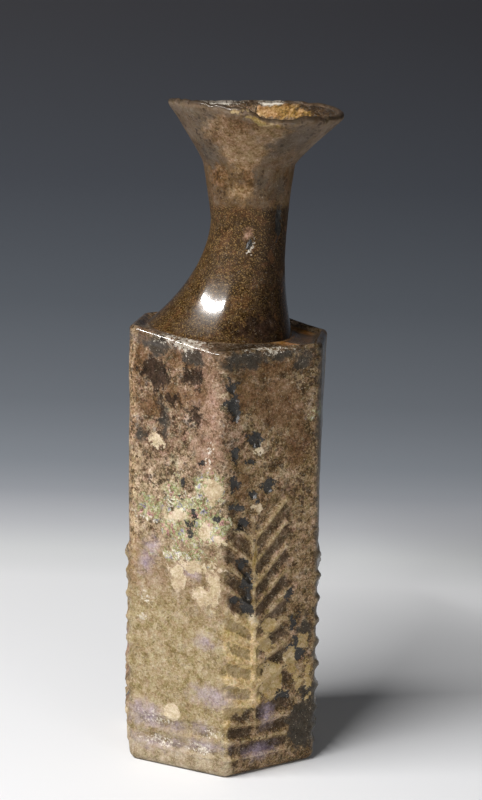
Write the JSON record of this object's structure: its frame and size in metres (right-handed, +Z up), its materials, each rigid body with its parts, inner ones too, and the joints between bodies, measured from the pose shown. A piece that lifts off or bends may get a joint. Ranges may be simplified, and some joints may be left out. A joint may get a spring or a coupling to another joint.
{
  "type": "hexagonal glass bottle",
  "caption": "Tall six-sided mould-blown glass bottle with low relief panels, a leaning trumpet neck and a wide funnel mouth, hollow and open at the top.",
  "frame": {"origin": "centre of the flat underside that the bottle stands on", "axes": "+Z up along the body, the near edge of the body towards -Y, the neck shifted towards +X"},
  "size_m": [0.0671, 0.0712, 0.2188],
  "materials": {
    "weathered_glass": "weathered brown glass under a pitted, partly iridescent crust, almost opaque"
  },
  "bodies": {
    "root": {"bottle": "weathered_glass"}
  },
  "joints": []
}
